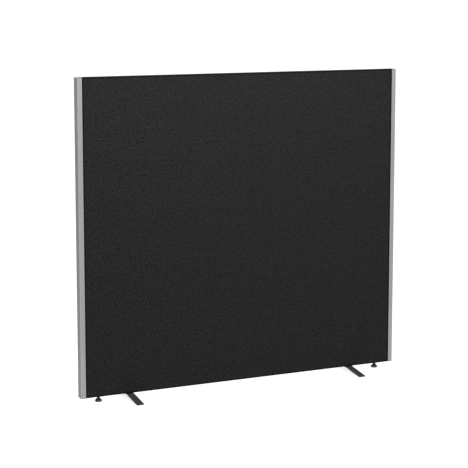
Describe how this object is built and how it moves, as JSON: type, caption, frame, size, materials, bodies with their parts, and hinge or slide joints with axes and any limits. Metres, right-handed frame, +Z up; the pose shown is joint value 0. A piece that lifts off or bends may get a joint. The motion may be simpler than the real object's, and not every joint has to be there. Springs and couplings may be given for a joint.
{
  "type": "free-standing fabric screen",
  "caption": "Free-standing office partition screen with a padded fabric panel, aluminium edge trims, swivelling foot bars and screw-adjusted levelling glides.",
  "frame": {"origin": "on the floor, under the middle of the panel", "axes": "+X along the screen to the viewer's right, +Y through it away from the viewer, +Z up"},
  "size_m": [1.8, 0.318, 1.628],
  "materials": {
    "timber": "matte",
    "board": "matte",
    "felt": "matte",
    "screen_fabric": "matte",
    "spline_rubber": "matte",
    "trim_aluminium": "satin",
    "mill_aluminium": "satin",
    "cap_plastic": "matte",
    "zinc_steel": "satin",
    "black_steel": "matte",
    "black_plastic": "satin"
  },
  "bodies": {
    "panel": {"top_rail": "timber", "bottom_rail": "timber", "left_stile": "timber", "right_stile": "timber", "centre_muntin": "timber", "left_mid_rail": "timber", "right_mid_rail": "timber", "front_board": "board", "rear_board": "board", "front_padding": "felt", "rear_padding": "felt", "front_cover": "screen_fabric", "rear_cover": "screen_fabric", "top_spline": "spline_rubber", "cover_staples": "zinc_steel", "left_trim": "trim_aluminium", "right_trim": "trim_aluminium", "left_trim_carrier": "mill_aluminium", "right_trim_carrier": "mill_aluminium", "left_carrier_screws": "zinc_steel", "right_carrier_screws": "zinc_steel", "left_trim_top_cap": "cap_plastic", "left_trim_bottom_cap": "cap_plastic", "right_trim_top_cap": "cap_plastic", "right_trim_bottom_cap": "cap_plastic", "left_glide_insert": "zinc_steel", "right_glide_insert": "zinc_steel", "left_glide_lock_nut": "black_steel", "right_glide_lock_nut": "black_steel", "left_foot_insert": "zinc_steel", "right_foot_insert": "zinc_steel", "left_foot_spacer": "black_plastic", "right_foot_spacer": "black_plastic", "left_foot_washer": "black_steel", "right_foot_washer": "black_steel", "left_foot_bolt": "black_steel", "right_foot_bolt": "black_steel"},
    "left_foot": {"left_foot_bar": "black_steel"},
    "right_foot": {"right_foot_bar": "black_steel"},
    "left_pad": {"left_glide_pad": "black_plastic"},
    "right_pad": {"right_glide_pad": "black_plastic"},
    "left_screw": {"left_glide_stem": "black_steel"},
    "right_screw": {"right_glide_stem": "black_steel"}
  },
  "joints": [
    {"name": "left_foot_swivel", "type": "hinge", "parent": "panel", "child": "left_foot", "pos_m": [-0.635, 0, 0.0223], "axis": [0, 0, 1], "range_deg": [-75, 75]},
    {"name": "left_glide_height", "type": "slide", "parent": "panel", "child": "left_pad", "axis": [0, 0, 1], "range_m": [-0.015, 0.002]},
    {"name": "left_glide_turn", "type": "hinge", "parent": "left_pad", "child": "left_screw", "pos_m": [-0.8, 0, 0.0082], "axis": [0, 0, 1], "range_deg": [-4300, 540]},
    {"name": "right_foot_swivel", "type": "hinge", "parent": "panel", "child": "right_foot", "pos_m": [0.635, 0, 0.0223], "axis": [0, 0, 1], "range_deg": [-75, 75]},
    {"name": "right_glide_height", "type": "slide", "parent": "panel", "child": "right_pad", "axis": [0, 0, 1], "range_m": [-0.015, 0.002]},
    {"name": "right_glide_turn", "type": "hinge", "parent": "right_pad", "child": "right_screw", "pos_m": [0.8, 0, 0.0082], "axis": [0, 0, 1], "range_deg": [-4300, 540]}
  ],
  "couplings": [
    {"joint": "left_glide_height", "follows": "left_glide_turn", "m_per_rad": 0.00019894},
    {"joint": "right_glide_height", "follows": "right_glide_turn", "m_per_rad": 0.00019894}
  ]
}
